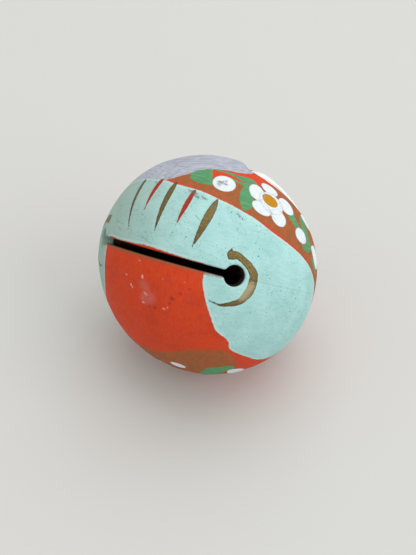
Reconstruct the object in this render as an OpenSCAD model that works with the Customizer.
// Round clay rattle bell, lying on its side.
// Two press-moulded half shells are luted together with a roll of soft clay,
// a slit with a round sound hole at each end is cut along the joint under the base,
// and a loose fired pellet rattles inside.
// The bell's own axes: Z up through the crown, -Y towards the painted front,
// X along the slit. lay_down() turns them into the lying attitude.

/* [Shell] */
// Outside diameter of the bell
shell_d = 60; // [45:1:80]
// Thickness of the pressed clay wall
wall = 3.6; // [2.6:0.1:5]

/* [Sound slit] */
// Width of the slit
slit_w = 1.8; // [1.5:0.1:3.5]
// Diameter of the round hole at each end of the slit
hole_d = 5.4; // [4:0.1:8]
// Angle from the base pole to the axis of each hole
hole_angle = 43; // [30:1:60]

/* [Joint] */
// Radius of the clay roll pressed into the corner of the joint
roll_r = 1.4; // [0.8:0.1:2]
// Bare length left between the end of the clay roll and a hole
roll_end_gap = 1.2; // [0.6:0.1:3]

/* [Pellet] */
// Diameter of the loose rattle pellet
pellet_d = 10; // [9:0.5:14]
// Clearance between the pellet and the chamber wall at each end of its travel
pellet_gap = 0.3; // [0.2:0.05:0.6]

/* [Lying attitude] */
// Diameter of the flat that the bell rests on
rest_flat_d = 7; // [4:0.5:10]
// Turn about the bell's own upright axis
spin = 164.6; // [0:0.1:360]
// Tip of the upright axis away from vertical
tip = 134; // [115:0.5:145]
// Turn of the tipped bell on the surface
turn = 137.5; // [0:0.1:360]

/* [Hidden] */
$fn = 180;
shell_r = shell_d / 2;
chamber_r = shell_r - wall;
// Half-size of blocks that have to reach past the shell
reach = shell_d;
centre_h = sqrt(pow(shell_r, 2) - pow(rest_flat_d / 2, 2));
pellet_drop = chamber_r - pellet_gap - pellet_d / 2;
// Angle from the base pole at which the clay roll stops
roll_end_angle = hole_angle + asin((hole_d / 2 + roll_end_gap + roll_r) / chamber_r);
front = -1;
rear = 1;

// Puts shapes made in the bell's own axes into the lying attitude
module lay_down() {
    translate([0, 0, centre_h])
        rotate([0, 0, turn])
            rotate([tip, 0, 0])
                rotate([0, 0, spin])
                    children();
}

// The half of space on one side of the joint plane
module half_space(side) {
    translate([-reach, side == front ? -2 * reach : 0, -reach])
        cube(2 * reach);
}

// Wedge in the joint plane that opens downwards to an angle each side of the base pole
module base_wedge(half_angle, thickness) {
    rotate([90, 0, 0])
        linear_extrude(thickness, center = true)
            polygon([
                [0, 0],
                [reach * sin(half_angle), -reach * cos(half_angle)],
                [-reach * sin(half_angle), -reach * cos(half_angle)]
            ]);
}

// Round hole through the wall, at an angle from the base pole
module sound_hole(angle) {
    rotate([0, 180 + angle, 0])
        translate([0, 0, chamber_r / 2])
            cylinder(d = hole_d, h = shell_r);
}

module sound_cuts() {
    base_wedge(hole_angle, slit_w);
    sound_hole(hole_angle);
    sound_hole(-hole_angle);
}

module half_shell(side) {
    difference() {
        intersection() {
            sphere(r = shell_r);
            half_space(side);
        }
        sphere(r = chamber_r);
        sound_cuts();
    }
}

module front_shell() {
    color([0.66, 0.84, 0.80])
        lay_down()
            half_shell(front);
}

// The rest flat lies wholly on the rear shell
module rear_shell() {
    color([0.78, 0.25, 0.11])
        difference() {
            lay_down()
                half_shell(rear);
            translate([-reach, -reach, -2 * reach])
                cube(2 * reach);
        }
}

// Roll of luting clay that fills the corner along the inside of the joint
module seam_roll() {
    color([0.70, 0.47, 0.34])
        lay_down()
            difference() {
                rotate([90, 0, 0])
                    rotate_extrude()
                        intersection() {
                            circle(r = chamber_r);
                            translate([chamber_r, 0])
                                circle(r = roll_r);
                        }
                base_wedge(roll_end_angle, 4 * roll_r);
            }
}

// The pellet lies at the bottom of the chamber
module rattle_pellet() {
    color([0.62, 0.40, 0.28])
        translate([0, 0, centre_h - pellet_drop])
            sphere(d = pellet_d);
}

front_shell();
rear_shell();
seam_roll();
rattle_pellet();
